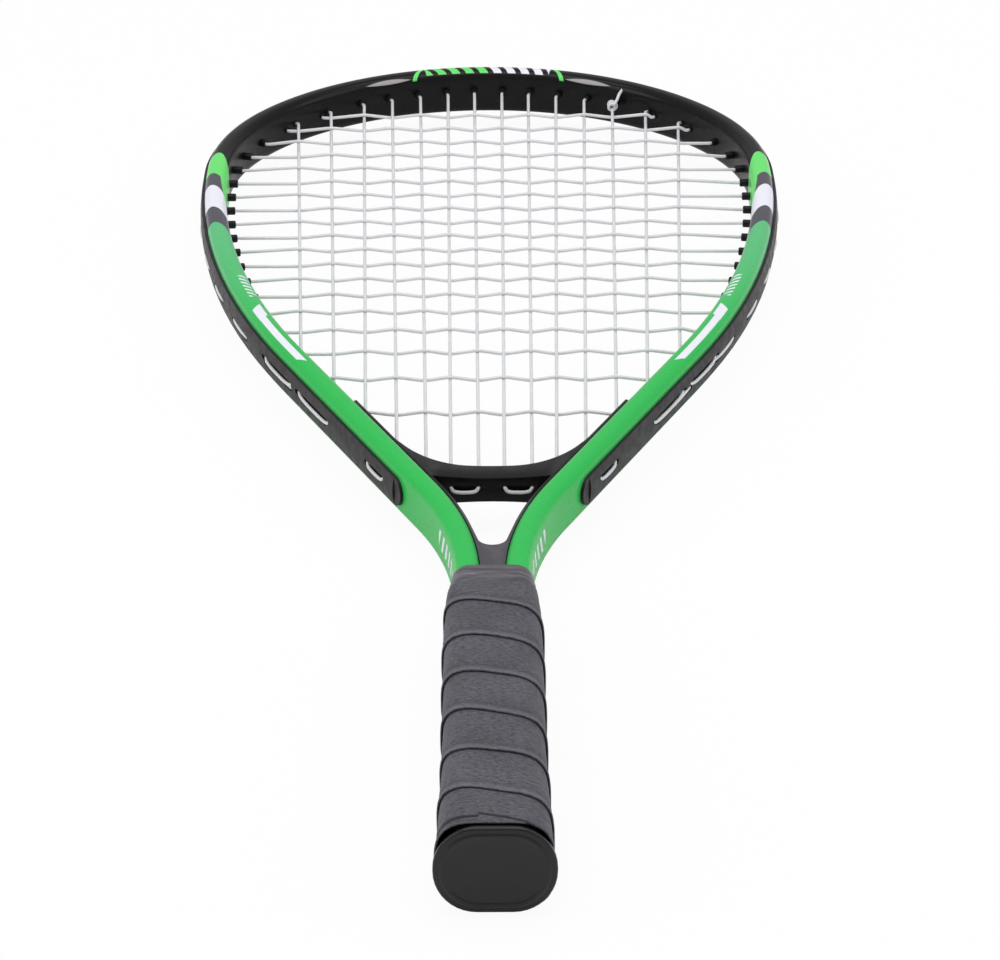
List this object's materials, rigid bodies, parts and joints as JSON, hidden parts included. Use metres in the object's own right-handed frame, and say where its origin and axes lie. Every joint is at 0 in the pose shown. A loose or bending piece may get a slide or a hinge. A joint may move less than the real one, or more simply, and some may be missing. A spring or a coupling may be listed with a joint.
{
  "type": "crossminton racket",
  "caption": "Short-handled racket with an egg-shaped hoop, open throat with a moulded bridge, strung bed, grommet strip and wrapped grip.",
  "frame": {"origin": "centre of the butt cap's end face, in the plane of its raised rim", "axes": "+Y along the racket from the butt to the tip of the head, +X to the right, +Z square to the string bed"},
  "size_m": [0.2208, 0.588, 0.0299],
  "materials": {
    "frame_lacquer": "gloss lacquer over carbon",
    "throat_plastic": "satin",
    "strip_plastic": "satin",
    "string_nylon": "smooth",
    "handle_foam": "moulded foam",
    "cap_plastic": "fine grain",
    "staple_steel": "plain wire",
    "grip_wrap": "soft foamed wrap",
    "finishing_band": "thin adhesive band"
  },
  "bodies": {
    "root": {"frame_tube": "frame_lacquer", "throat_bridge": "throat_plastic", "grommet_strip": "strip_plastic", "main_string": "string_nylon", "cross_string": "string_nylon", "tie_off_knot": "string_nylon", "handle_shell_upper": "handle_foam", "handle_shell_lower": "handle_foam", "butt_cap": "cap_plastic", "butt_cap_staples": "staple_steel", "grip_tape": "grip_wrap", "finishing_tape": "finishing_band"}
  },
  "joints": []
}
